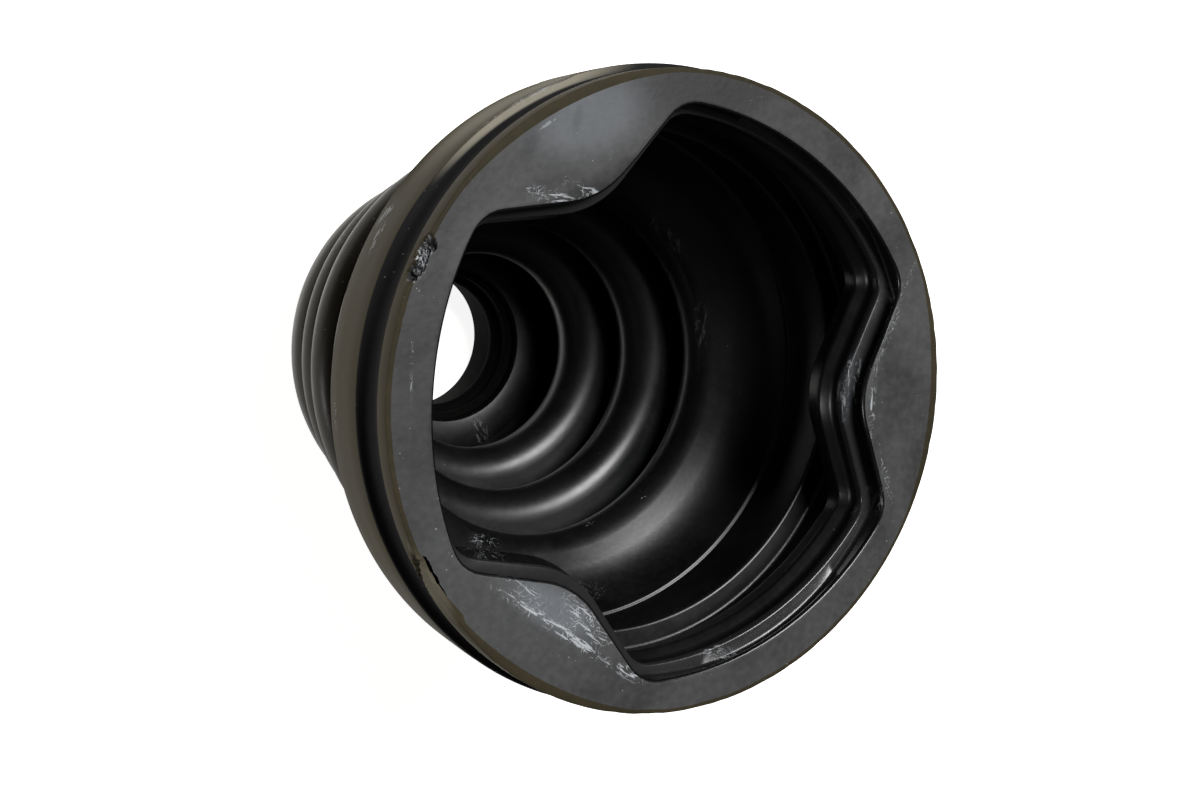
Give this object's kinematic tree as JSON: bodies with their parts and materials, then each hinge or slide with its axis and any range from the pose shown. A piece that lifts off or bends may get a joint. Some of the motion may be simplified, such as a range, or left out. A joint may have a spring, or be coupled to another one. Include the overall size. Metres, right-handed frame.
{
  "type": "rubber bellows boot",
  "caption": "Tapered rubber bellows boot with a round clamped neck, a flanged mouth and a three-lobed ribbed socket that seals over a shaft joint.",
  "frame": {"origin": "centre of the small end's flat face, on the boot's axis", "axes": "+Z along the boot's axis from the small end to the mouth; one of the mouth's three lobes points along -X"},
  "size_m": [0.0955, 0.0954, 0.0975],
  "materials": {
    "black_rubber": "satin black moulded rubber"
  },
  "bodies": {
    "root": {"bellows_boot": "black_rubber"}
  },
  "joints": []
}
